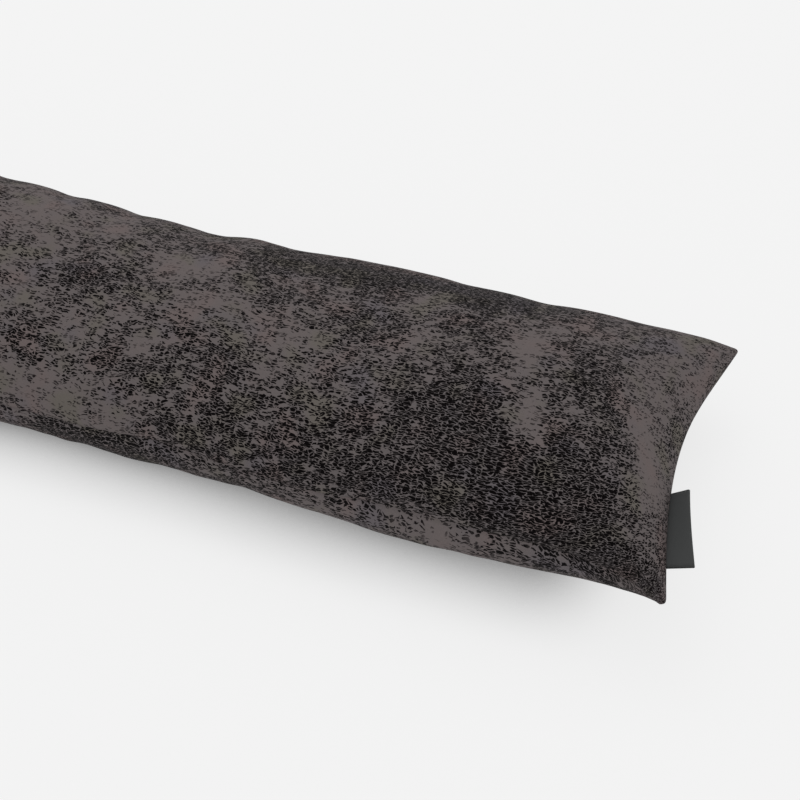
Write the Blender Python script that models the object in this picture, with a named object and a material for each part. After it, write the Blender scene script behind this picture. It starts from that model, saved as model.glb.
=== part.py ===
# A draught excluder: a long flat cushion of two cloth panels, sewn together all round and filled.
# X runs along its length with the label at +X, Y across it, and Z up. The origin is on the floor
# under its middle.

import math

import bmesh
import bpy

MM = 0.001

# Length from the middle to a corner, and the stretch at each end where the panels close to a seam.
HALF_LENGTH = 446.5 * MM
END_RUN = 95 * MM

# Height of the upper panel over the seam, and depth of the lower panel under it. The floor
# flattens what would hang below it, with a soft bend where the cloth leaves the floor.
CROWN = 44 * MM
DEPTH = 52 * MM
FLOOR_BEND = 4 * MM

# How full the ends are: a lower power is a blunter end. The corners are blunter than the middle.
END_POWER_MIDDLE = 0.6
END_POWER_SIDE = 0.45
UNDER_POWER = 0.85

# Power of the cosine that draws each panel across. 1 is half an ellipse, more is a pointed lens.
ROUND_BODY = 1.0
ROUND_END = 1.25
FULLNESS_SCALE = 0.01
ROUND_RUN = 150 * MM

# The end seams are drawn in between the corners, a little more on the far half. The near corner is
# pulled out a little further than the far one.
DRAW_IN = 13.1 * MM
DRAW_POWER = 1.3
DRAW_LEAN = 0.2
NEAR_EAR = 1.5 * MM
EAR_POWER = 8
CORNER_RADIUS = 3 * MM

# The side seams sit in a shallow groove.
SEAM_GROOVE = 0.8 * MM

# Half width and seam height on the near (-Y) and far (+Y) side, and how much fuller than the upper
# panel the lower one is, by the place along X.
SECTIONS = [
    # x, near width, far width, near seam, far seam in millimetres, under fullness in hundredths
    (-446, 94.2, 95.3, 42.0, 46.5, 25),
    (-431, 92.4, 91.6, 41.6, 48.2, 25),
    (-416, 90.0, 88.6, 41.5, 48.8, 25),
    (-396, 87.2, 85.8, 41.8, 48.2, 25),
    (-371, 84.6, 83.6, 42.6, 46.4, 25),
    (-341, 82.0, 82.4, 43.8, 44.6, 25),
    (-306, 80.2, 81.8, 44.6, 43.4, 25),
    (-266, 79.4, 80.4, 44.8, 42.6, 25),
    (-226, 80.6, 78.8, 44.2, 42.2, 25),
    (-186, 82.0, 78.6, 43.4, 42.4, 25),
    (-146, 81.6, 80.2, 43.0, 42.2, 25),
    (-106, 80.0, 82.4, 43.6, 41.6, 25),
    (-70, 79.6, 84.6, 44.6, 41.0, 25),
    (-34, 80.6, 85.0, 45.1, 40.8, 25),
    (16, 79.8, 83.0, 42.6, 40.8, 22),
    (66, 77.4, 80.4, 38.4, 40.8, 14),
    (106, 75.0, 77.2, 35.8, 40.8, 6),
    (146, 76.2, 76.0, 37.8, 40.8, 8),
    (186, 76.4, 78.0, 41.8, 40.8, 22),
    (226, 80.0, 79.9, 42.4, 40.8, 4),
    (266, 82.7, 82.6, 43.7, 40.8, 4),
    (306, 82.2, 82.7, 47.5, 40.8, 39),
    (341, 83.4, 83.3, 49.3, 40.7, 41),
    (371, 84.2, 86.2, 50.9, 40.5, 41),
    (396, 84.7, 89.4, 52.1, 40.3, 45),
    (416, 86.1, 93.2, 51.2, 40.2, 45),
    (431, 88.6, 95.8, 49.7, 40.2, 45),
    (446, 95.3, 94.9, 48.2, 41.0, 20),
]

# Rings of points along the body and along each end, and steps across each panel.
BODY_STEPS = 62
END_STEPS = 12
CROSS_STEPS = 32
END_CROWDING = 1.6

# The label: a woven tag folded once, its raw ends caught in the +X end seam near the near corner.
# It is sewn a little askew, so it reaches further out at its near end.
LABEL_FAR_Y = -26.1 * MM
LABEL_NEAR_Y = -72.9 * MM
LABEL_FAR_REACH = 9.6 * MM
LABEL_NEAR_REACH = 12.9 * MM
LABEL_FAR_TILT = math.radians(31)
LABEL_NEAR_TILT = math.radians(15)
LABEL_SHEET = 1.0 * MM
LABEL_FOLD_RADIUS = 0.8 * MM
LABEL_GAP = 0.3 * MM
LABEL_STEPS = 12
LABEL_FOLD_STEPS = 6
LABEL_RUN_STEPS = 3

CLOTH_COLOUR = (0.078, 0.065, 0.062, 1.0)
LABEL_COLOUR = (0.052, 0.055, 0.056, 1.0)


def at_place(x, column):
    """Value of one column of SECTIONS at x metres, on a smooth curve through the rows."""
    rows = [(row[0] * MM, row[column] * MM) for row in SECTIONS]
    x = min(max(x, rows[0][0]), rows[-1][0])
    last = len(rows) - 2
    i = min(max(k for k in range(len(rows)) if rows[k][0] <= x), last)

    def slope(k):
        before, after = max(k - 1, 0), min(k + 1, len(rows) - 1)
        return (rows[after][1] - rows[before][1]) / (rows[after][0] - rows[before][0])

    width = rows[i + 1][0] - rows[i][0]
    t = (x - rows[i][0]) / width
    return (
        rows[i][1] * (1 + 2 * t) * (1 - t) ** 2
        + slope(i) * width * t * (1 - t) ** 2
        + rows[i + 1][1] * t**2 * (3 - 2 * t)
        + slope(i + 1) * width * t**2 * (t - 1)
    )


def end_seam_x(share):
    """Distance of the end seam from the middle, for a share across of -1 (near) to 1 (far)."""
    x = HALF_LENGTH - DRAW_IN * (1 - share**2) ** DRAW_POWER * (1 + DRAW_LEAN * share)
    if share < 0:
        x += NEAR_EAR * share**EAR_POWER
    half_width = at_place(HALF_LENGTH, 1)
    past = (abs(share) * half_width - (half_width - CORNER_RADIUS)) / CORNER_RADIUS
    if past > 0:
        x -= CORNER_RADIUS * (1 - math.sqrt(max(0.0, 1 - past**2)))
    return x


def on_floor(z):
    """Height of cloth that would be at z if the floor weren't there."""
    if z >= FLOOR_BEND:
        return z
    if z <= -FLOOR_BEND:
        return 0.0
    return (z + FLOOR_BEND) ** 2 / (4 * FLOOR_BEND)


def seam_point(x, share):
    """The sheet between the two side seams: y and z at x, for a share across of -1 to 1."""
    near, far = at_place(x, 1), at_place(x, 2)
    near_seam, far_seam = at_place(x, 3), at_place(x, 4)
    y = (far - near) / 2 + share * (far + near) / 2
    z = (near_seam + far_seam) / 2 + share * (far_seam - near_seam) / 2
    return y, z


def panel_point(x, run, across, upper):
    """A point of a panel. x is where the ring leaves the body, run falls from 1 there to 0 at the
    end seam, and across goes from -1 at the near seam to 1 at the far one."""
    share = math.sin(across * math.pi / 2)
    thin = math.cos(across * math.pi / 2)
    if abs(across) == 1:
        share, thin = float(across), 0.0
    end = math.copysign(1.0, x)
    inner = HALF_LENGTH - END_RUN
    if run < 1:
        out = inner + (end_seam_x(share * end) - inner) * (1 - run)
        x_here, x_table = end * out, end * (HALF_LENGTH - END_RUN * run)
    else:
        x_here = x_table = x
    y, seam = seam_point(x_table, share)
    if abs(across) == 1 and run > 0:
        y -= share * SEAM_GROOVE * min(1.0, 4 * run)
    to_end = HALF_LENGTH - abs(x_table)
    round_power = ROUND_END + (ROUND_BODY - ROUND_END) * min(1.0, to_end / ROUND_RUN)
    end_power = END_POWER_MIDDLE + (END_POWER_SIDE - END_POWER_MIDDLE) * across**2
    full = (1 - (1 - run) ** 2) ** end_power if run < 1 else 1.0
    if upper:
        return x_here, y, seam + CROWN * full * thin**round_power
    round_power -= at_place(x_table, 5) / MM * FULLNESS_SCALE
    under = DEPTH * full**UNDER_POWER * thin**round_power if thin else 0.0
    return x_here, y, on_floor(seam - under)


def ring_places():
    """(x, run) of each ring between the two end seams, from the -X end to the +X end."""
    inner = HALF_LENGTH - END_RUN
    runs = [(1 - i / END_STEPS) ** END_CROWDING for i in range(1, END_STEPS)]
    left = [(-inner, run) for run in reversed(runs)]
    body = [(-inner + 2 * inner * i / BODY_STEPS, 1.0) for i in range(BODY_STEPS + 1)]
    right = [(inner, run) for run in runs]
    return left + body + right


def make_object(name, mesh_data, colour, roughness):
    mesh = bpy.data.meshes.new(name)
    mesh_data.to_mesh(mesh)
    mesh_data.free()
    mesh.shade_smooth()
    item = bpy.data.objects.new(name, mesh)
    bpy.context.scene.collection.objects.link(item)
    material = bpy.data.materials.new(name + "_material")
    material.use_nodes = True
    shader = material.node_tree.nodes["Principled BSDF"]
    shader.inputs["Base Color"].default_value = colour
    shader.inputs["Roughness"].default_value = roughness
    shader.inputs["Metallic"].default_value = 0.0
    mesh.materials.append(material)
    return item


def end_seam_row(mesh_data, end):
    inner = HALF_LENGTH - END_RUN
    steps = [-1 + 2 * j / CROSS_STEPS for j in range(CROSS_STEPS + 1)]
    return [mesh_data.verts.new(panel_point(end * inner, 0.0, t, True)) for t in steps]


def make_cushion():
    """Both panels as one closed skin: rings of points round the body, ending in the end seams."""
    mesh_data = bmesh.new()
    steps = [-1 + 2 * j / CROSS_STEPS for j in range(CROSS_STEPS + 1)]
    rings = []
    first = end_seam_row(mesh_data, -1)
    for x, run in ring_places():
        over = [mesh_data.verts.new(panel_point(x, run, t, True)) for t in steps]
        under = [mesh_data.verts.new(panel_point(x, run, t, False)) for t in steps[1:-1]]
        rings.append(over + under[::-1])
    last = end_seam_row(mesh_data, 1)

    count = len(rings[0])
    for ring, following in zip(rings, rings[1:]):
        for j in range(count):
            k = (j + 1) % count
            mesh_data.faces.new((ring[j], ring[k], following[k], following[j]))
    # The under half of a ring runs back to the near side, so its seam row is read backwards there.
    for ring, seam in ((rings[0], first), (rings[-1], last)):
        doubled = seam + seam[-2:0:-1]
        for j in range(count):
            k = (j + 1) % count
            corners = (doubled[j], doubled[k], ring[k], ring[j])
            if seam is last:
                corners = corners[::-1]
            mesh_data.faces.new(corners)
    bmesh.ops.recalc_face_normals(mesh_data, faces=mesh_data.faces)
    return make_object("cushion", mesh_data, CLOTH_COLOUR, 0.9)


def label_frame(part):
    """Root point, unit directions outward and upward, and tilt, for part 0 (far) to 1 (near)."""
    half_width = at_place(HALF_LENGTH, 1)
    y = LABEL_FAR_Y + (LABEL_NEAR_Y - LABEL_FAR_Y) * part
    share = y / half_width
    root = (end_seam_x(share), y, seam_point(HALF_LENGTH, share)[1])
    chord_x = end_seam_x(LABEL_NEAR_Y / half_width) - end_seam_x(LABEL_FAR_Y / half_width)
    skew = math.atan2(chord_x, LABEL_FAR_Y - LABEL_NEAR_Y)
    tilt = LABEL_FAR_TILT + (LABEL_NEAR_TILT - LABEL_FAR_TILT) * part
    outward = (
        math.cos(tilt) * math.cos(skew),
        math.cos(tilt) * math.sin(skew),
        math.sin(tilt),
    )
    upward = (
        -math.sin(tilt) * math.cos(skew),
        -math.sin(tilt) * math.sin(skew),
        math.cos(tilt),
    )
    return root, outward, upward, tilt


def label_profile(reach, tilt):
    """Middle line of the folded tag: out along the upper layer, round the fold, and back. Each
    layer starts where its top edge is LABEL_GAP clear of the seam."""
    straight = reach - LABEL_FOLD_RADIUS - LABEL_SHEET / 2

    def layer_run(height):
        start = (LABEL_GAP + (height + LABEL_SHEET / 2) * math.sin(tilt)) / math.cos(tilt)
        return [start + (straight - start) * i / LABEL_RUN_STEPS for i in range(LABEL_RUN_STEPS)]

    turns = [math.pi / 2 - math.pi * i / LABEL_FOLD_STEPS for i in range(LABEL_FOLD_STEPS + 1)]
    fold = [
        (straight + LABEL_FOLD_RADIUS * math.cos(a), LABEL_FOLD_RADIUS * math.sin(a))
        for a in turns
    ]
    upper = [(run, LABEL_FOLD_RADIUS) for run in layer_run(LABEL_FOLD_RADIUS)]
    lower = [(run, -LABEL_FOLD_RADIUS) for run in reversed(layer_run(-LABEL_FOLD_RADIUS))]
    return upper + fold + lower


def make_label():
    mesh_data = bmesh.new()
    rows = []
    for i in range(LABEL_STEPS + 1):
        part = i / LABEL_STEPS
        root, outward, upward, tilt = label_frame(part)
        reach = LABEL_FAR_REACH + (LABEL_NEAR_REACH - LABEL_FAR_REACH) * part
        row = []
        for out, up in label_profile(reach, tilt):
            place = [root[k] + outward[k] * out + upward[k] * up for k in range(3)]
            row.append(mesh_data.verts.new(place))
        rows.append(row)
    for row, following in zip(rows, rows[1:]):
        for j in range(len(row) - 1):
            mesh_data.faces.new((row[j], row[j + 1], following[j + 1], following[j]))
    label = make_object("label", mesh_data, LABEL_COLOUR, 0.85)
    layer = label.modifiers.new("sheet thickness", "SOLIDIFY")
    layer.thickness = LABEL_SHEET
    layer.offset = 0.0
    layer.use_even_offset = True
    label.data.set_sharp_from_angle(angle=math.radians(40))
    return label


def main():
    for item in list(bpy.data.objects):
        bpy.data.objects.remove(item, do_unlink=True)
    make_cushion()
    make_label()


main()
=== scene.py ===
import math

import bmesh
import bpy
import numpy as np
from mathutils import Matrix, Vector


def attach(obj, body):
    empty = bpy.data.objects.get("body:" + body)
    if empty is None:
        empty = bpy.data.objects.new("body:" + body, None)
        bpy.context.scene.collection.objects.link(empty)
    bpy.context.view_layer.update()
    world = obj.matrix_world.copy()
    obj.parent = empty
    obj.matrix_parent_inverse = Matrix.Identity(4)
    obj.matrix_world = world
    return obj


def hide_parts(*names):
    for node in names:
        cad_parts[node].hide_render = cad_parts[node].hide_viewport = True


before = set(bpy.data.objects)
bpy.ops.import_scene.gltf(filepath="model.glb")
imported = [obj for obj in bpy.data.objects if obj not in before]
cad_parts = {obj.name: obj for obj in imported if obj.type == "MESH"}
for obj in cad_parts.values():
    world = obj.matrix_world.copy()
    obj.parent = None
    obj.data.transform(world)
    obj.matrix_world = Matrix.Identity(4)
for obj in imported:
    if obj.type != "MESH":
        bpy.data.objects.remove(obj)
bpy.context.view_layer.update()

print("frame loaded")

# The cushion: two panels cut 900 by 200 mm, sewn together all round and filled. Metres throughout.
# The print's grain is in cells for each metre of cloth, and grainApart keeps the two panels' cells apart.
cushion = {
    "node": "cushion",
    "slot": "cushion_cloth",
    "cutLength": 0.900,
    "cutWidth": 0.200,
    "halfLength": 0.4465,
    "endRun": 0.095,
    "crown": 0.044,
    "depth": 0.052,
    "floorBend": 0.004,
    "endPowerMiddle": 0.6,
    "endPowerSide": 0.45,
    "underPower": 0.85,
    "fullnessScale": 10.0,
    "roundBody": 1.0,
    "roundEnd": 1.25,
    "roundRun": 0.150,
    "drawIn": 0.0131,
    "drawPower": 1.3,
    "drawLean": 0.2,
    "nearEar": 0.0015,
    "earPower": 8,
    "cornerRadius": 0.003,
    "alongSteps": 200,
    "acrossSteps": 44,
    "seamCrease": 1.0,
    "underPrintShift": (0.37, 0.50),
    "grainAlong": 325.0,
    "grainAcross": 880.0,
    "grainTurn": 0.36,
    "grainShorter": 0.6,
    "grainSkew": 0.5,
    "grainFiner": 2.5,
    "grainApart": 1000.0,
    "fill": 0.75,
}

# Where the side seams run: x, half width near and far, seam height near and far, in millimetres, and
# how full the under panel is there, in hundredths.
seamPath = [
    (-446, 94.2, 95.3, 42.0, 46.5, 25),
    (-431, 92.4, 91.6, 41.6, 48.2, 25),
    (-416, 90.0, 88.6, 41.5, 48.8, 25),
    (-396, 87.2, 85.8, 41.8, 48.2, 25),
    (-371, 84.6, 83.6, 42.6, 46.4, 25),
    (-341, 82.0, 82.4, 43.8, 44.6, 25),
    (-306, 80.2, 81.8, 44.6, 43.4, 25),
    (-266, 79.4, 80.4, 44.8, 42.6, 25),
    (-226, 80.6, 78.8, 44.2, 42.2, 25),
    (-186, 82.0, 78.6, 43.4, 42.4, 25),
    (-146, 81.6, 80.2, 43.0, 42.2, 25),
    (-106, 80.0, 82.4, 43.6, 41.6, 25),
    (-70, 79.6, 84.6, 44.6, 41.0, 25),
    (-34, 80.6, 85.0, 45.1, 40.8, 25),
    (16, 79.8, 83.0, 42.6, 40.8, 22),
    (66, 77.4, 80.4, 38.4, 40.8, 14),
    (106, 75.0, 77.2, 35.8, 40.8, 6),
    (146, 76.2, 76.0, 37.8, 40.8, 8),
    (186, 76.4, 78.0, 41.8, 40.8, 22),
    (226, 80.0, 79.9, 42.4, 40.8, 4),
    (266, 82.7, 82.6, 43.7, 40.8, 4),
    (306, 82.2, 82.7, 47.5, 40.8, 39),
    (341, 83.4, 83.3, 49.3, 40.7, 41),
    (371, 84.2, 86.2, 50.9, 40.5, 41),
    (396, 84.7, 89.4, 52.1, 40.3, 45),
    (416, 86.1, 93.2, 51.2, 40.2, 45),
    (431, 88.6, 95.8, 49.7, 40.2, 45),
    (446, 95.3, 94.9, 48.2, 41.0, 20),
]


def seamAt(x, column):
    # smooth curve through the rows of seamPath, in metres
    rows = [(row[0] / 1000, row[column] / 1000) for row in seamPath]
    x = min(max(x, rows[0][0]), rows[-1][0])
    i = min(max(k for k in range(len(rows)) if rows[k][0] <= x), len(rows) - 2)

    def slope(k):
        before, after = max(k - 1, 0), min(k + 1, len(rows) - 1)
        return (rows[after][1] - rows[before][1]) / (rows[after][0] - rows[before][0])

    width = rows[i + 1][0] - rows[i][0]
    t = (x - rows[i][0]) / width
    return (
        rows[i][1] * (1 + 2 * t) * (1 - t) ** 2
        + slope(i) * width * t * (1 - t) ** 2
        + rows[i + 1][1] * t**2 * (3 - 2 * t)
        + slope(i + 1) * width * t**2 * (t - 1)
    )


def endSeamX(share):
    # distance of an end seam from the middle, share running from -1 near to 1 far
    c = cushion
    x = c["halfLength"] - c["drawIn"] * (1 - share**2) ** c["drawPower"] * (1 + c["drawLean"] * share)
    if share < 0:
        x += c["nearEar"] * share ** c["earPower"]
    halfWidth = seamAt(c["halfLength"], 1)
    past = (abs(share) * halfWidth - (halfWidth - c["cornerRadius"])) / c["cornerRadius"]
    if past > 0:
        x -= c["cornerRadius"] * (1 - math.sqrt(max(0.0, 1 - past**2)))
    return x


def onFloor(z):
    bend = cushion["floorBend"]
    if z >= bend:
        return z
    return 0.0 if z <= -bend else (z + bend) ** 2 / (4 * bend)


def formPoint(x, run, across, upper):
    # a point of the filled form: run falls from 1 on the body to 0 at the end seam, and across
    # goes from -1 at the near seam to 1 at the far one
    c = cushion
    share = math.sin(across * math.pi / 2)
    thin = max(0.0, math.cos(across * math.pi / 2))
    if abs(across) > 0.9999:
        share, thin = math.copysign(1.0, across), 0.0
    end = math.copysign(1.0, x)
    inner = c["halfLength"] - c["endRun"]
    xHere = xTable = x
    if run < 1:
        xHere = end * (inner + (endSeamX(share * end) - inner) * (1 - run))
        xTable = end * (c["halfLength"] - c["endRun"] * run)
    near, far = seamAt(xTable, 1), seamAt(xTable, 2)
    nearSeam, farSeam = seamAt(xTable, 3), seamAt(xTable, 4)
    y = (far - near) / 2 + share * (far + near) / 2
    seam = (nearSeam + farSeam) / 2 + share * (farSeam - nearSeam) / 2
    toEnd = c["halfLength"] - abs(xTable)
    power = c["roundEnd"] + (c["roundBody"] - c["roundEnd"]) * min(1.0, toEnd / c["roundRun"])
    endPower = c["endPowerMiddle"] + (c["endPowerSide"] - c["endPowerMiddle"]) * across**2
    full = (1 - (1 - run) ** 2) ** endPower if run < 1 else 1.0
    if upper:
        return Vector((xHere, y, seam + c["crown"] * full * thin**power))
    power -= seamAt(xTable, 5) * c["fullnessScale"]
    under = c["depth"] * full ** c["underPower"] * thin**power if thin else 0.0
    return Vector((xHere, y, onFloor(seam - under)))


def evenSteps(curve, count, samples=400):
    # parameters from 0 to 1 that cut a curve into pieces of equal length
    points = [curve(i / samples) for i in range(samples + 1)]
    lengths = [0.0]
    for a, b in zip(points, points[1:]):
        lengths.append(lengths[-1] + (b - a).length)
    wanted = [lengths[-1] * i / count for i in range(count + 1)]
    return np.interp(wanted, lengths, [i / samples for i in range(samples + 1)]).tolist()


def panelStations():
    # the rings of the panels, evenly spaced over the cloth from one end seam to the other
    c = cushion
    inner = c["halfLength"] - c["endRun"]
    endLength = c["cutLength"] / 2 - inner
    endCount = round(c["alongSteps"] * endLength / c["cutLength"])
    bodyCount = c["alongSteps"] - 2 * endCount
    runs = evenSteps(lambda t: formPoint(inner, 1 - t, 0.0, True), endCount)
    right = [(inner, 1 - t) for t in runs[1:]]
    left = [(-inner, run) for _, run in reversed(right)]
    body = [(-inner + 2 * inner * i / bodyCount, 1.0) for i in range(bodyCount + 1)]
    return left + body + right


def acrossSteps():
    t = evenSteps(lambda s: formPoint(0.0, 1.0, 2 * s - 1, True), cushion["acrossSteps"])
    return [2 * s - 1 for s in t]


def cutPanel(shape, upper, stations, across):
    # one panel as cut, a flat grid, whose points are then laid over the filled form
    c = cushion
    nu, nv = len(stations) - 1, len(across) - 1
    made = bmesh.ops.create_grid(shape, x_segments=nu, y_segments=nv, size=0.5)
    flat = shape.verts.layers.float_vector["flat"]
    for vert in made["verts"]:
        i = round((vert.co.x + 0.5) * nu)
        j = round((vert.co.y + 0.5) * nv)
        vert[flat] = ((i / nu - 0.5) * c["cutLength"], (j / nv - 0.5) * c["cutWidth"], 0.0)
        x, run = stations[i]
        vert.co = formPoint(x, run, across[j], upper)


def grainAt(u, v):
    # cells of the print's grain along and across: long in the body, rounder and askew near the ends
    c = cushion
    past = max(0.0, abs(u) - c["grainTurn"]) ** 2 / 2 / (c["cutLength"] / 2 - c["grainTurn"])
    along = c["grainAlong"] * (u + math.copysign(past, u) * c["grainShorter"])
    finer = 1 + c["grainFiner"] * past
    return along, c["grainAcross"] * finer * (v - math.copysign(past, u) * c["grainSkew"])


def sewCushion():
    c = cushion
    shape = bmesh.new()
    flat = shape.verts.layers.float_vector.new("flat")
    uv = shape.loops.layers.uv.new("cut")
    grain = shape.loops.layers.uv.new("grain")
    crease = shape.edges.layers.float.new("crease_edge")
    stations, across = panelStations(), acrossSteps()
    cutPanel(shape, True, stations, across)
    upperFaces = set(shape.faces)
    cutPanel(shape, False, stations, across)
    for face in shape.faces:
        shift = (0.0, 0.0) if face in upperFaces else c["underPrintShift"]
        for loop in face.loops:
            u, v, _ = loop.vert[flat]
            loop[uv].uv = (u + shift[0], v + shift[1])
            along, across = grainAt(u, v)
            loop[grain].uv = (along + shift[0] * c["grainApart"], across + shift[1] * c["grainApart"])
    for edge in shape.edges:
        if edge.is_boundary:
            edge[crease] = c["seamCrease"]
    bmesh.ops.remove_doubles(shape, verts=shape.verts, dist=0.00001)
    bmesh.ops.recalc_face_normals(shape, faces=shape.faces)
    mesh = bpy.data.meshes.new("filledCushion")
    shape.to_mesh(mesh)
    shape.free()
    piece = bpy.data.objects.new("filledCushion", mesh)
    bpy.context.scene.collection.objects.link(piece)
    return piece


# How the sewn panels settle: the cloth keeps its cut size, seams gather a little, and the form holds.
settle = {
    "frames": 20,
    "quality": 5,
    "pressure": 4.0,
    "clothMass": 0.3,
    "stretch": 30.0,
    "bend": 0.6,
    "seamGather": 0.04,
    "gatherReach": 0.012,
    "smoothRounds": 60,
    "wrinkleShare": 0.18,
    "wrinkleCap": 0.0013,
    "seamHold": 0.15,
    "holdReach": 0.030,
    "cornerReach": 0.045,
}


def readPoints(mesh):
    values = np.zeros(len(mesh.vertices) * 3)
    mesh.vertices.foreach_get("co", values)
    return values.reshape(-1, 3)


def readFlat(mesh):
    values = np.zeros(len(mesh.vertices) * 3)
    mesh.attributes["flat"].data.foreach_get("vector", values)
    return values.reshape(-1, 3)


def seamDistances(flatPoints):
    # how far points of the cut panels lie from the side seams and from the end seams
    toSide = cushion["cutWidth"] / 2 - np.abs(flatPoints[:, 1])
    toEnd = cushion["cutLength"] / 2 - np.abs(flatPoints[:, 0])
    return np.maximum(toSide, 0), np.maximum(toEnd, 0)


def smoothOver(mesh, values, rounds):
    # spreads values over the mesh, each point taking part of its neighbours' mean
    pairs = np.zeros(len(mesh.edges) * 2, dtype=np.int32)
    mesh.edges.foreach_get("vertices", pairs)
    a, b = pairs.reshape(-1, 2).T
    count = np.bincount(np.concatenate([a, b]), minlength=len(values)).astype(float)
    for _ in range(rounds):
        total = np.zeros_like(values)
        for k in range(values.shape[1]):
            total[:, k] += np.bincount(a, weights=values[b, k], minlength=len(values))
            total[:, k] += np.bincount(b, weights=values[a, k], minlength=len(values))
        values = 0.5 * values + 0.5 * total / count[:, None]
    return values


def settledPoints(piece):
    # where the points of the sewn panels come to rest under the filling's pressure
    s = settle
    mesh = piece.data
    flat = readFlat(mesh)
    piece.shape_key_add(name="form")
    cut = piece.shape_key_add(name="cut")
    cut.data.foreach_set("co", flat.ravel())
    gather = piece.vertex_groups.new(name="gather")
    near = np.clip(1 - np.minimum(*seamDistances(flat)) / s["gatherReach"], 0, 1)
    for index in np.nonzero(near)[0]:
        gather.add([int(index)], float(near[index]), "REPLACE")
    cloth = piece.modifiers.new("settle", "CLOTH")
    cloth.settings.quality = s["quality"]
    cloth.settings.mass = s["clothMass"]
    cloth.settings.tension_stiffness = s["stretch"]
    cloth.settings.compression_stiffness = s["stretch"]
    cloth.settings.shear_stiffness = s["stretch"] / 2
    cloth.settings.bending_stiffness = s["bend"]
    cloth.settings.use_pressure = True
    cloth.settings.uniform_pressure_force = s["pressure"]
    cloth.settings.rest_shape_key = cut
    cloth.settings.vertex_group_shrink = gather.name
    cloth.settings.shrink_max = s["seamGather"]
    cloth.settings.effector_weights.gravity = 0.0
    cloth.collision_settings.use_collision = False
    cloth.collision_settings.use_self_collision = False
    cloth.point_cache.frame_end = s["frames"]
    for step in range(1, s["frames"] + 1):
        bpy.context.scene.frame_set(step)
    evaluated = piece.evaluated_get(bpy.context.evaluated_depsgraph_get())
    points = readPoints(evaluated.data)
    piece.modifiers.remove(cloth)
    piece.shape_key_clear()
    piece.vertex_groups.clear()
    bpy.context.scene.frame_set(1)
    return points


def settleCushion(piece):
    # only the wrinkles of the settled cloth are kept: the broad form stays the one it started from
    s = settle
    form = readPoints(piece.data)
    moved = settledPoints(piece) - form
    broad = smoothOver(piece.data, moved, s["smoothRounds"])
    wrinkle = (moved - broad) * s["wrinkleShare"]
    length = np.linalg.norm(wrinkle, axis=1, keepdims=True)
    wrinkle *= np.minimum(1, s["wrinkleCap"] / np.maximum(length, 1e-9))
    toSide, toEnd = seamDistances(readFlat(piece.data))
    held = s["seamHold"] + (1 - s["seamHold"]) * np.clip(np.minimum(toSide, toEnd) / s["holdReach"], 0, 1)
    wrinkle *= (held * np.clip(np.maximum(toSide, toEnd) / s["cornerReach"], 0, 1))[:, None]
    points = form + wrinkle
    points[:, 2] = np.maximum(points[:, 2], 0)
    piece.data.vertices.foreach_set("co", points.ravel())
    piece.data.update()
    print("cushion settled, wrinkles up to", round(float(length.max()) * 1000, 1), "mm before the cap")


def refine(piece):
    # one level of subdivision, applied
    smooth = piece.modifiers.new("fine cloth", "SUBSURF")
    smooth.levels = smooth.render_levels = 1
    evaluated = piece.evaluated_get(bpy.context.evaluated_depsgraph_get())
    fine = bpy.data.meshes.new_from_object(evaluated)
    piece.modifiers.clear()
    piece.data = fine


# The stitches draw the side seams into a shallow groove, with small gathers on both sides of it.
groove = {
    "depth": 0.0006,
    "reach": 0.0026,
    "gatherDepth": 0.00025,
    "gatherReach": 0.008,
    "gatherLength": 0.011,
    "gatherSway": 1.7,
    "gatherSwayPace": 0.23,
    "endFade": 0.045,
}


def drawSeams(mesh):
    g = groove
    points, flat = readPoints(mesh), readFlat(mesh)
    toSide, toEnd = seamDistances(flat)
    along = flat[:, 0] * 2 * math.pi / g["gatherLength"]
    uneven = g["gatherSway"] * np.sin(along * g["gatherSwayPace"])
    gathers = np.sin(along + uneven) * np.exp(-((toSide / g["gatherReach"]) ** 2))
    drawn = g["depth"] * np.exp(-((toSide / g["reach"]) ** 2)) + g["gatherDepth"] * gathers
    fade = np.clip(toEnd / g["endFade"], 0, 1)
    points[:, 1] -= np.sign(flat[:, 1]) * drawn * fade
    mesh.vertices.foreach_set("co", points.ravel())
    toSeam = mesh.attributes.new("toSeam", "FLOAT", "POINT")
    toSeam.data.foreach_set("value", np.minimum(toSide, toEnd))
    mesh.update()


filled = sewCushion()
print("cushion sewn:", len(filled.data.vertices), "points")
settleCushion(filled)
refine(filled)
drawSeams(filled.data)
filled.data.shade_smooth()
print("cushion finished:", len(filled.data.polygons), "faces")

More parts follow.
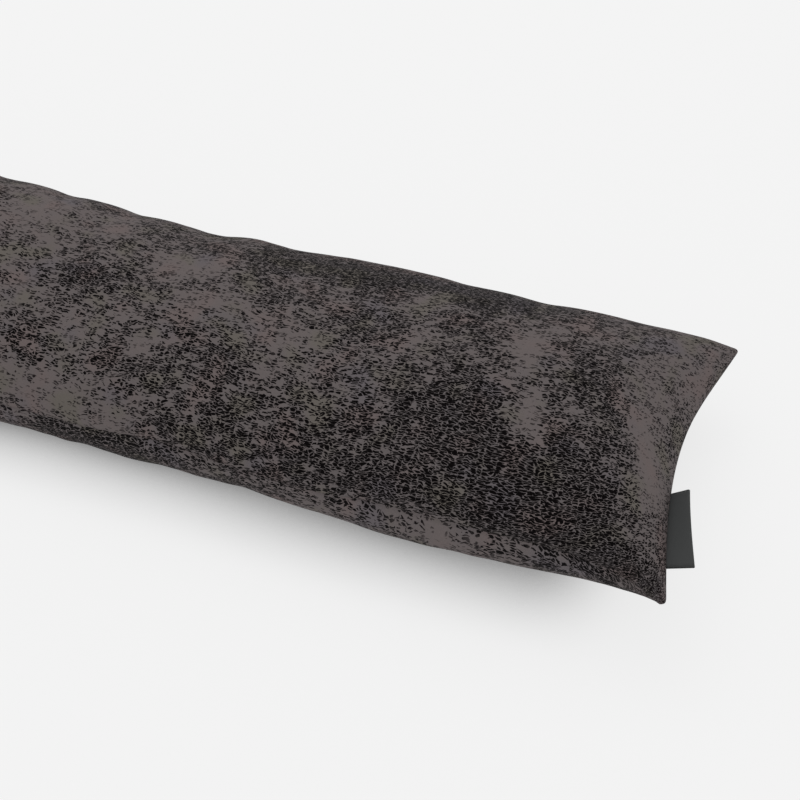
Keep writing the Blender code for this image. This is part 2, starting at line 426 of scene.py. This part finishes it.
# The print: soft clouds of black specks on a taupe ground. Each cloud has its middle along and across
# the panel and its half lengths, in millimetres, then how dense it is, from -1 bare to 1 black.
printClouds = {
    "upper": [
        (64, 18, 26, 22, -0.62),
        (100, -84, 58, 18, -0.62),
        (162, 12, 20, 11, -0.70),
        (162, -48, 7, 7, -0.70),
        (113, 30, 12, 10, -0.55),
        (201, -13, 10, 7, -0.50),
        (240, -25, 23, 12, -0.65),
        (289, 19, 9, 9, -0.50),
        (299, -7, 6, 6, -0.60),
        (299, 31, 6, 7, -0.50),
        (348, 6, 8, 7, -0.35),
        (356, -3, 12, 11, -0.65),
        (365, -39, 7, 9, -0.80),
        (415, -16, 8, 8, -0.70),
        (424, -33, 8, 14, -0.80),
        (415, 60, 38, 32, -0.42),
        (412, 18, 16, 14, -0.15),
        (430, -12, 14, 34, -0.25),
        (352, 12, 12, 10, -0.20),
        (84, 25, 12, 13, 0.20),
        (171, -20, 14, 10, -0.25),
        (113, -19, 12, 11, 0.35),
        (95, -38, 24, 14, -0.45),
        (70, 45, 28, 12, -0.35),
        (94, -59, 20, 12, 0.30),
        (190, -72, 34, 22, 0.22),
        (262, -2, 28, 12, 0.34),
        (296, -62, 16, 12, 0.25),
        (250, 44, 60, 16, 0.65),
        (312, 46, 45, 13, 0.35),
        (232, -96, 24, 7, 0.40),
        (318, 37, 15, 10, 0.35),
        (358, -58, 34, 24, 0.45),
        (392, -76, 30, 20, 0.50),
        (382, -2, 16, 20, 0.55),
        (378, -91, 45, 9, 0.70),
        (318, -46, 36, 24, 0.30),
        (289, -84, 40, 16, 0.36),
        (250, -88, 22, 12, 0.20),
    ],
    "under": [
        (140, -75, 42, 24, 0.80),
        (92, -90, 16, 14, -0.50),
        (275, -56, 11, 8, -0.60),
        (338, -92, 10, 6, -0.60),
        (395, -88, 12, 6, -0.35),
        (412, -92, 24, 12, 0.35),
    ],
}

# The cloth: the print's colours, how its clouds and single specks vary, the nap, the painted seam shade.
# Scales are those of the noise, for each metre of cloth, and in speckGroup for each cell of the grain.
cloth = {
    "repeat": 0.45,
    "cloudSoftness": 1.3,
    "bare": (0.132, 0.1105, 0.1075, 1.0),
    "packed": (0.115, 0.1015, 0.1020, 1.0),
    "olive": (0.120, 0.107, 0.095, 1.0),
    "rose": (0.134, 0.108, 0.105, 1.0),
    "violet": (0.114, 0.101, 0.107, 1.0),
    "speck": (0.0016, 0.0008, 0.0010, 1.0),
    "paintedSeamShade": 0.85,
    "lumpiness": 1.0,
    "raggedness": 0.6,
    "lineSparse": 0.24,
    "lineDense": 0.075,
    "lineDraw": -0.4,
    "lineRange": (0.0, 0.8),
    "speckEdge": 0.045,
    "swayScale": 1.4,
    "sway": (0.9, 0.75, 0.0),
    "lumpScale": 0.45,
    "raggedScale": 0.9,
    "cellDisorder": 0.85,
    "driftScale": 160.0,
    "drift": (1.4, 3.6, 0.0),
    "cloudShare": 0.61,
    "evenDensity": 0.74,
    "broadScale": 26.0,
    "broadShare": 1.1,
    "patchScale": 120.0,
    "patchShare": 1.2,
    "thinnest": 0.2,
    "faded": 0.4,
    "fadeRange": (0.2, 0.65),
    "packedRange": (0.0, 1.1),
    "leanScale": 42.0,
    "oliveRange": (0.55, 0.68),
    "roseRange": (0.46, 0.32),
    "hueScale": 31.0,
    "violetRange": (0.60, 0.72),
    "napScale": 1500.0,
    "napContrast": 0.35,
    "paintedSeamShadeReach": (0.0003, 0.0016),
    "roughness": 0.92,
    "speckRoughness": 0.80,
    "gloss": 0.05,
    "speckHeight": -0.35,
    "bumpStrength": 0.5,
    "bumpDistance": 0.0002,
}


def cloudAt(u, v, panel):
    # the print repeats over the left half of the panels, turned over
    total = 0.0
    for along, across, halfLong, halfWide, dense in printClouds[panel]:
        for shift, turn in ((0, 1), (-cloth["repeat"] * 1000, -1)):
            du = (u * 1000 - along - shift) / halfLong
            dv = (v * 1000 - across * turn) / halfWide
            total += dense * math.exp(-(du * du + dv * dv) / cloth["cloudSoftness"])
    return max(-1.0, min(1.0, total))


def paintClouds(mesh):
    # the density of the specks, one value for each corner of each face
    layer = mesh.attributes.new("cloud", "FLOAT", "CORNER")
    uv = mesh.uv_layers["cut"].data
    shiftU, shiftV = cushion["underPrintShift"]
    known = {}
    for index, place in enumerate(uv):
        u, v = place.uv
        panel = "upper" if v < cushion["cutWidth"] else "under"
        if panel == "under":
            u, v = u - shiftU, v - shiftV
        spot = (panel, round(u, 5), round(v, 5))
        if spot not in known:
            known[spot] = cloudAt(u, v, panel)
        layer.data[index].value = known[spot]


def addNode(tree, kind, **settings):
    node = tree.nodes.new(kind)
    for name, value in settings.items():
        setattr(node, name, value)
    return node


def feed(tree, socket, value):
    # a socket takes either a link or a plain value
    if isinstance(value, bpy.types.NodeSocket):
        tree.links.new(value, socket)
    else:
        socket.default_value = value


def calc(tree, operation, *values, clamp=False):
    node = addNode(tree, "ShaderNodeMath", operation=operation, use_clamp=clamp)
    for socket, value in zip(node.inputs, values):
        feed(tree, socket, value)
    return node.outputs[0]


def calcVector(tree, operation, *values):
    node = addNode(tree, "ShaderNodeVectorMath", operation=operation)
    for socket, value in zip(node.inputs, values):
        feed(tree, socket, value)
    return node.outputs[0]


def noise(tree, vector, scale, detail=2.0, rough=0.5, output="Fac"):
    node = addNode(tree, "ShaderNodeTexNoise", noise_dimensions="3D")
    feed(tree, node.inputs["Vector"], vector)
    feed(tree, node.inputs["Scale"], scale)
    node.inputs["Detail"].default_value = detail
    node.inputs["Roughness"].default_value = rough
    return node.outputs[output]


def aroundZero(tree, vector, scale, detail, rough=0.5):
    # noise that leans as far below zero as above it
    return calc(tree, "SUBTRACT", noise(tree, vector, scale, detail, rough), 0.5)


def wander(tree, vector, scale, detail, reach):
    # a shift of a place to all sides, by the given reach on each axis
    sides = calcVector(tree, "SUBTRACT", noise(tree, vector, scale, detail, 0.5, "Color"), (0.5, 0.5, 0.5))
    return calcVector(tree, "MULTIPLY", sides, reach)


def spread(tree, value, low, high, toLow=0.0, toHigh=1.0, smooth=False):
    node = addNode(tree, "ShaderNodeMapRange", clamp=True)
    node.interpolation_type = "SMOOTHSTEP" if smooth else "LINEAR"
    for socket, given in zip(node.inputs, (value, low, high, toLow, toHigh)):
        feed(tree, socket, given)
    return node.outputs[0]


def blendColours(tree, share, first, second):
    node = addNode(tree, "ShaderNodeMix", data_type="RGBA")
    feed(tree, node.inputs["Factor"], share)
    feed(tree, node.inputs[6], first)
    feed(tree, node.inputs[7], second)
    return node.outputs[2]


def newGroup(name, inputs, outputs):
    tree = bpy.data.node_groups.new(name, "ShaderNodeTree")
    for label, kind in inputs:
        tree.interface.new_socket(label, in_out="INPUT", socket_type=kind)
    for label, kind in outputs:
        tree.interface.new_socket(label, in_out="OUTPUT", socket_type=kind)
    return tree, tree.nodes.new("NodeGroupInput").outputs, tree.nodes.new("NodeGroupOutput").inputs


def useGroup(tree, group, **values):
    node = addNode(tree, "ShaderNodeGroup", node_tree=group)
    for name, value in values.items():
        feed(tree, node.inputs[name], value)
    return node.outputs


def speckGroup():
    # specks that fill the cells of a fine grain, with pale lines between them: the thinner the print,
    # the more cells stay empty and the smaller the specks are
    tree, given, result = newGroup(
        "printedSpecks",
        [("Place", "NodeSocketVector"), ("Density", "NodeSocketFloat")],
        [("Mask", "NodeSocketFloat")],
    )
    c, place = cloth, given["Place"]
    place = calcVector(tree, "ADD", place, wander(tree, place, c["swayScale"], 1.0, c["sway"]))
    lump = aroundZero(tree, place, c["lumpScale"], 1.0)
    density = calc(tree, "MULTIPLY_ADD", lump, c["lumpiness"], given["Density"])
    edges = addNode(tree, "ShaderNodeTexVoronoi", voronoi_dimensions="2D", feature="DISTANCE_TO_EDGE")
    cells = addNode(tree, "ShaderNodeTexVoronoi", voronoi_dimensions="2D", feature="F1")
    for node in (edges, cells):
        feed(tree, node.inputs["Vector"], place)
        node.inputs["Scale"].default_value = 1.0
        node.inputs["Randomness"].default_value = c["cellDisorder"]
    draw = addNode(tree, "ShaderNodeSeparateColor")
    feed(tree, draw.inputs[0], cells.outputs["Color"])
    filled = calc(tree, "LESS_THAN", draw.outputs[0], density)
    room = calc(tree, "MULTIPLY_ADD", draw.outputs[1], c["lineDraw"], density)
    line = spread(tree, room, *c["lineRange"], c["lineSparse"], c["lineDense"])
    ragged = aroundZero(tree, place, c["raggedScale"], 1.0)
    line = calc(tree, "MULTIPLY_ADD", ragged, c["raggedness"], line)
    low = calc(tree, "SUBTRACT", line, c["speckEdge"])
    high = calc(tree, "ADD", line, c["speckEdge"])
    speck = spread(tree, edges.outputs["Distance"], low, high)
    feed(tree, result["Mask"], calc(tree, "MULTIPLY", filled, speck))
    return tree


def grainGroup():
    # the fine nap of brushed or woven cloth: a height, and a tone around 1
    tree, given, result = newGroup(
        "fineGrain",
        [("Place", "NodeSocketVector"), ("Scale", "NodeSocketFloat"), ("Contrast", "NodeSocketFloat")],
        [("Height", "NodeSocketFloat"), ("Tone", "NodeSocketFloat")],
    )
    field = noise(tree, given["Place"], given["Scale"], 2.0, 0.6)
    feed(tree, result["Height"], field)
    lean = calc(tree, "MULTIPLY", calc(tree, "SUBTRACT", field, 0.5), given["Contrast"])
    feed(tree, result["Tone"], calc(tree, "ADD", lean, 1.0))
    return tree


def scaleColour(tree, colour, factor):
    return calcVector(tree, "MULTIPLY", colour, factor)


def addBump(tree, shader, height, strength, distance):
    bump = addNode(tree, "ShaderNodeBump")
    bump.inputs["Strength"].default_value = strength
    bump.inputs["Distance"].default_value = distance
    feed(tree, bump.inputs["Height"], height)
    feed(tree, shader.inputs["Normal"], bump.outputs[0])


def clothMaterial(specks, grain):
    material = bpy.data.materials.new("speckledCloth")
    material.use_nodes = True
    c, tree = cloth, material.node_tree
    shader = tree.nodes["Principled BSDF"]
    place = addNode(tree, "ShaderNodeUVMap", uv_map="cut").outputs[0]
    cloud = addNode(tree, "ShaderNodeAttribute", attribute_name="cloud").outputs["Fac"]
    cells = addNode(tree, "ShaderNodeUVMap", uv_map="grain").outputs[0]
    cells = calcVector(tree, "ADD", cells, wander(tree, place, c["driftScale"], 2.0, c["drift"]))

    # how dense the specks are: the clouds, broken up by broad and by small patches
    broad = aroundZero(tree, place, c["broadScale"], 3.0, 0.6)
    patches = aroundZero(tree, place, c["patchScale"], 3.0, 0.6)
    density = calc(tree, "MULTIPLY_ADD", cloud, c["cloudShare"], c["evenDensity"])
    density = calc(tree, "MULTIPLY_ADD", broad, c["broadShare"], density)
    density = calc(tree, "MULTIPLY_ADD", patches, c["patchShare"], density)
    density = calc(tree, "MAXIMUM", density, c["thinnest"])

    mask = useGroup(tree, specks, Place=cells, Density=density)["Mask"]
    # where the print is thin its specks are faded too
    mask = calc(tree, "MULTIPLY", mask, spread(tree, density, *c["fadeRange"], c["faded"], 1.0))

    # the ground between the specks leans to one hue or another, and right at the seams it is darkened by
    # painted shade
    lean = noise(tree, place, c["leanScale"], 1.0, 0.5)
    hue = noise(tree, place, c["hueScale"], 1.0, 0.5)
    ground = blendColours(tree, spread(tree, density, *c["packedRange"]), c["bare"], c["packed"])
    ground = blendColours(tree, spread(tree, lean, *c["oliveRange"]), ground, c["olive"])
    ground = blendColours(tree, spread(tree, lean, *c["roseRange"]), ground, c["rose"])
    ground = blendColours(tree, spread(tree, hue, *c["violetRange"]), ground, c["violet"])
    nap = useGroup(tree, grain, Place=place, Scale=c["napScale"], Contrast=c["napContrast"])
    ground = scaleColour(tree, ground, nap["Tone"])
    # painted shade: the ground is made darker within a millimetre or two of the seams
    toSeam = addNode(tree, "ShaderNodeAttribute", attribute_name="toSeam").outputs["Fac"]
    ground = scaleColour(tree, ground, spread(tree, toSeam, *c["paintedSeamShadeReach"], c["paintedSeamShade"], 1.0))
    feed(tree, shader.inputs["Base Color"], blendColours(tree, mask, ground, c["speck"]))
    feed(tree, shader.inputs["Roughness"], spread(tree, mask, 0.0, 1.0, c["roughness"], c["speckRoughness"]))

    height = calc(tree, "MULTIPLY_ADD", mask, c["speckHeight"], nap["Height"])
    addBump(tree, shader, height, c["bumpStrength"], c["bumpDistance"])
    shader.inputs["Specular IOR Level"].default_value = c["gloss"]
    return material


specks, grain = speckGroup(), grainGroup()
paintClouds(filled.data)
filled.data.materials.append(clothMaterial(specks, grain))
print("cloth printed")

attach(filled, "root")
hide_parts(cushion["node"])

# The label: a woven tape folded once, its ends caught in the end seam near the near corner.
label = {
    "node": "label",
    "slot": "label_tape",
    "farY": -0.0261,
    "nearY": -0.0729,
    "farReach": 0.0096,
    "nearReach": 0.0129,
    "farTilt": math.radians(31),
    "nearTilt": math.radians(15),
    "tapeThickness": 0.00045,
    "foldRadius": 0.00055,
    "tucked": 0.0012,
    "cutWidth": 0.048,
    "cutLength": 0.026,
    "alongSteps": 24,
    "runSteps": 8,
    "foldSteps": 8,
    "sharpFrom": math.radians(50),
}


def labelFrame(part):
    # root point on the end seam, and the unit directions outward and upward, from far 0 to near 1
    l = label
    halfWidth = seamAt(cushion["halfLength"], 1)
    y = l["farY"] + (l["nearY"] - l["farY"]) * part
    share = y / halfWidth
    nearSeam, farSeam = seamAt(cushion["halfLength"], 3), seamAt(cushion["halfLength"], 4)
    seam = (nearSeam + farSeam) / 2 + share * (farSeam - nearSeam) / 2
    root = Vector((endSeamX(share), y, seam))
    chord = endSeamX(l["nearY"] / halfWidth) - endSeamX(l["farY"] / halfWidth)
    skew = math.atan2(chord, l["farY"] - l["nearY"])
    tilt = l["farTilt"] + (l["nearTilt"] - l["farTilt"]) * part
    outward = Vector((math.cos(tilt) * math.cos(skew), math.cos(tilt) * math.sin(skew), math.sin(tilt)))
    upward = Vector((-math.sin(tilt) * math.cos(skew), -math.sin(tilt) * math.sin(skew), math.cos(tilt)))
    return root, outward, upward


def labelLine(reach):
    # the middle of the tape: out along the upper layer, round the fold and back
    l = label
    radius = l["foldRadius"]
    straight = reach - radius - l["tapeThickness"] / 2
    run = [-l["tucked"] + (straight + l["tucked"]) * i / l["runSteps"] for i in range(l["runSteps"])]
    turns = [math.pi / 2 - math.pi * i / l["foldSteps"] for i in range(l["foldSteps"] + 1)]
    fold = [(straight + radius * math.cos(a), radius * math.sin(a)) for a in turns]
    return [(out, radius) for out in run] + fold + [(out, -radius) for out in reversed(run)]


def makeLabel():
    # a flat strip laid along the folded line, then given its thickness
    l = label
    shape = bmesh.new()
    uv = shape.loops.layers.uv.new("tape")
    nu, nv = l["alongSteps"], 2 * l["runSteps"] + l["foldSteps"]
    made = bmesh.ops.create_grid(shape, x_segments=nu, y_segments=nv, size=0.5)
    for face in shape.faces:
        for loop in face.loops:
            across, along = loop.vert.co.x + 0.5, loop.vert.co.y + 0.5
            loop[uv].uv = (across * l["cutWidth"], along * l["cutLength"])
    for vert in made["verts"]:
        part, j = vert.co.x + 0.5, round((vert.co.y + 0.5) * nv)
        root, outward, upward = labelFrame(part)
        out, up = labelLine(l["farReach"] + (l["nearReach"] - l["farReach"]) * part)[j]
        vert.co = root + outward * out + upward * up
    bmesh.ops.recalc_face_normals(shape, faces=shape.faces)
    mesh = bpy.data.meshes.new("foldedLabel")
    shape.to_mesh(mesh)
    shape.free()
    piece = bpy.data.objects.new("foldedLabel", mesh)
    bpy.context.scene.collection.objects.link(piece)
    tape = piece.modifiers.new("tape thickness", "SOLIDIFY")
    tape.thickness = l["tapeThickness"]
    tape.offset = 0.0
    mesh.shade_smooth()
    mesh.set_sharp_from_angle(angle=l["sharpFrom"])
    return piece


# The tape's weave: ribs and picks are counted for each metre.
tape = {
    "colour": (0.054, 0.056, 0.056, 1.0),
    # the darker colour below is painted shade for the dips of the weave
    "paintedWeaveShade": (0.040, 0.042, 0.042, 1.0),
    "ribsPerMetre": 2600.0,
    "picksPerMetre": 1900.0,
    "fuzzScale": 3000.0,
    "fuzzContrast": 0.5,
    "roughness": 0.78,
    "shadeRoughness": 0.9,
    "gloss": 0.25,
    "weaveHeight": 0.5,
    "bumpStrength": 0.6,
    "bumpDistance": 0.00008,
}


def tapeMaterial(grain):
    # fine ribs of a closely woven tape, crossed by its picks, both worked out from the tape's own map
    material = bpy.data.materials.new("wovenTape")
    material.use_nodes = True
    tree = material.node_tree
    shader = tree.nodes["Principled BSDF"]
    place = addNode(tree, "ShaderNodeUVMap", uv_map="tape").outputs[0]
    parts = addNode(tree, "ShaderNodeSeparateXYZ")
    feed(tree, parts.inputs[0], place)
    ribs = calc(tree, "SINE", calc(tree, "MULTIPLY", parts.outputs[0], tape["ribsPerMetre"] * 2 * math.pi))
    picks = calc(tree, "MULTIPLY", parts.outputs[1], tape["picksPerMetre"] * 2 * math.pi)
    picks = calc(tree, "SINE", picks)
    weave = calc(tree, "MULTIPLY", ribs, picks)
    fuzz = useGroup(tree, grain, Place=place, Scale=tape["fuzzScale"], Contrast=tape["fuzzContrast"])
    # painted shade: the tape's colour is darker where the weave dips, following the same weave as its height
    paintedWeaveShade = spread(tree, weave, -1.0, 1.0)
    colour = blendColours(tree, paintedWeaveShade, tape["paintedWeaveShade"], tape["colour"])
    feed(tree, shader.inputs["Base Color"], scaleColour(tree, colour, fuzz["Tone"]))
    rough = spread(tree, paintedWeaveShade, 0.0, 1.0, tape["shadeRoughness"], tape["roughness"])
    feed(tree, shader.inputs["Roughness"], rough)
    height = calc(tree, "MULTIPLY_ADD", weave, tape["weaveHeight"], fuzz["Height"])
    addBump(tree, shader, height, tape["bumpStrength"], tape["bumpDistance"])
    shader.inputs["Specular IOR Level"].default_value = tape["gloss"]
    return material


foldedLabel = makeLabel()
foldedLabel.data.materials.append(tapeMaterial(grain))
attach(foldedLabel, "root")
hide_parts(label["node"])
print("label folded")

# Plain studio: an evenly glowing pale floor with a painted contact shadow, an even pale surround and one
# broad soft light.
studio = {
    "floorSize": 8.0,
    "floorColour": (0.12, 0.12, 0.12, 1.0),
    "floorGlow": 0.785,
    "floorRoughness": 0.9,
    "paintedShadowReach": 0.042,
    "paintedShadowPower": 2.1,
    "paintedShadowEnds": (0.375, 0.43),
    "paintedShadowFade": 0.9,
    "paintedShadowSamples": 16,
    "surround": 0.85,
    "keyPower": 8.0,
    "keySize": 1.6,
    "keyPlace": Vector((-0.5, 0.9, 1.9)),
}

floorMesh = bpy.data.meshes.new("floor")
floorShape = bmesh.new()
bmesh.ops.create_grid(floorShape, x_segments=1, y_segments=1, size=studio["floorSize"] / 2)
floorShape.to_mesh(floorMesh)
floorShape.free()
floor = bpy.data.objects.new("floor", floorMesh)
bpy.context.scene.collection.objects.link(floor)
floorMaterial = bpy.data.materials.new("floorPaper")
floorMaterial.use_nodes = True
floorTree = floorMaterial.node_tree
floorShader = floorTree.nodes["Principled BSDF"]
floorShader.inputs["Base Color"].default_value = studio["floorColour"]
floorShader.inputs["Roughness"].default_value = studio["floorRoughness"]
floorShader.inputs["Specular IOR Level"].default_value = 0.0
paintedShadowSource = addNode(floorTree, "ShaderNodeAmbientOcclusion", samples=studio["paintedShadowSamples"])
paintedShadowSource.inputs["Distance"].default_value = studio["paintedShadowReach"]
# painted shadow: the floor's glow is darkened close beside the cushion, and faded out towards the label end
# by place alone
floorPlace = addNode(floorTree, "ShaderNodeSeparateXYZ")
feed(floorTree, floorPlace.inputs[0], addNode(floorTree, "ShaderNodeTexCoord").outputs["Object"])
endsAt, faded = studio["paintedShadowEnds"], studio["paintedShadowFade"]
paintedShadowFadeOut = spread(floorTree, floorPlace.outputs[0], *endsAt, 0.0, faded, smooth=True)
paintedShadow = calc(floorTree, "SUBTRACT", 1.0, paintedShadowSource.outputs["AO"])
paintedShadow = calc(floorTree, "POWER", paintedShadow, studio["paintedShadowPower"])
paintedShadow = calc(floorTree, "MULTIPLY", paintedShadow, calc(floorTree, "SUBTRACT", 1.0, paintedShadowFadeOut))
feed(floorTree, floorShader.inputs["Emission Color"], calc(floorTree, "SUBTRACT", 1.0, paintedShadow))
floorShader.inputs["Emission Strength"].default_value = studio["floorGlow"]
floorMesh.materials.append(floorMaterial)

world = bpy.data.worlds.new("studioSurround")
world.use_nodes = True
world.node_tree.nodes["Background"].inputs["Color"].default_value = (1, 1, 1, 1)
world.node_tree.nodes["Background"].inputs["Strength"].default_value = studio["surround"]
bpy.context.scene.world = world
bpy.context.scene.view_settings.view_transform = "Standard"

key = bpy.data.lights.new("softKey", "AREA")
key.shape = "DISK"
key.size = studio["keySize"]
key.energy = studio["keyPower"]
keyObject = bpy.data.objects.new("softKey", key)
keyObject.location = studio["keyPlace"]
keyObject.rotation_euler = studio["keyPlace"].to_track_quat("Z", "Y").to_euler()
bpy.context.scene.collection.objects.link(keyObject)

# The camera stands where the photograph was taken: above the near side, towards the label end.
view = {
    "elevation": math.radians(44.0),
    "azimuth": math.radians(20.153),
    "target": Vector((0.288, -0.004, 0.040)),
    "distance": 0.753,
    "focalPixels": 1448.6,
    "pictureWidth": 800,
    "sensorWidth": 36.0,
}
back = Vector(
    (
        math.sin(view["azimuth"]) * math.cos(view["elevation"]),
        -math.cos(view["azimuth"]) * math.cos(view["elevation"]),
        math.sin(view["elevation"]),
    )
)
cameraData = bpy.data.cameras.new("camera")
cameraData.sensor_width = view["sensorWidth"]
cameraData.lens = view["focalPixels"] * view["sensorWidth"] / view["pictureWidth"]
cameraData.clip_start = 0.01
camera = bpy.data.objects.new("camera", cameraData)
camera.location = view["target"] + back * view["distance"]
camera.rotation_euler = back.to_track_quat("Z", "Y").to_euler()
bpy.context.scene.collection.objects.link(camera)
bpy.context.scene.camera = camera
